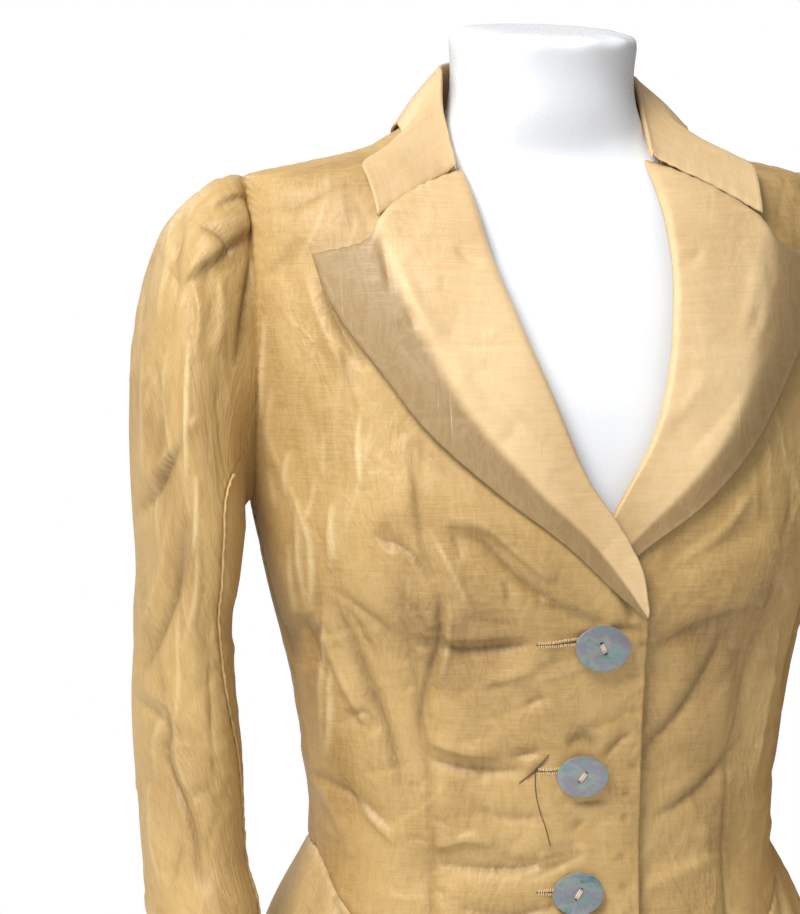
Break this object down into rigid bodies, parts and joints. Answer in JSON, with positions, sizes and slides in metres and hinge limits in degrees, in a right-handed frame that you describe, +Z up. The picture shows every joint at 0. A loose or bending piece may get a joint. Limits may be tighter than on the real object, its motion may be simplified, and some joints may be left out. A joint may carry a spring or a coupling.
{
  "type": "blazer on a torso dress form",
  "caption": "Fitted blazer with peaked lapels, puffed pleated sleeves and a flared peplum, buttoned on a limbless torso dress form.",
  "frame": {"origin": "middle of the form's flat base", "axes": "+Z up along the torso, the wearer faces -Y and the wearer's right is at -X"},
  "size_m": [0.4394, 0.2582, 0.7377],
  "materials": {
    "taffeta": "crinkled golden tan silk taffeta with a soft sheen and fine slub ribs",
    "shell": "polished grey shell with pink, green and blue lustre",
    "form": "smooth white satin plastic"
  },
  "bodies": {
    "root": {"front_right": "taffeta", "front_left": "taffeta", "back_right": "taffeta", "back_left": "taffeta", "lapel_right": "taffeta", "lapel_left": "taffeta", "sleeve_top_right": "taffeta", "sleeve_top_left": "taffeta", "sleeve_under_right": "taffeta", "sleeve_under_left": "taffeta", "peplum_front_right": "taffeta", "peplum_front_left": "taffeta", "peplum_back_right": "taffeta", "peplum_back_left": "taffeta", "collar": "taffeta", "button_1": "shell", "button_2": "shell", "button_3": "shell", "form_torso": "form"}
  },
  "joints": []
}
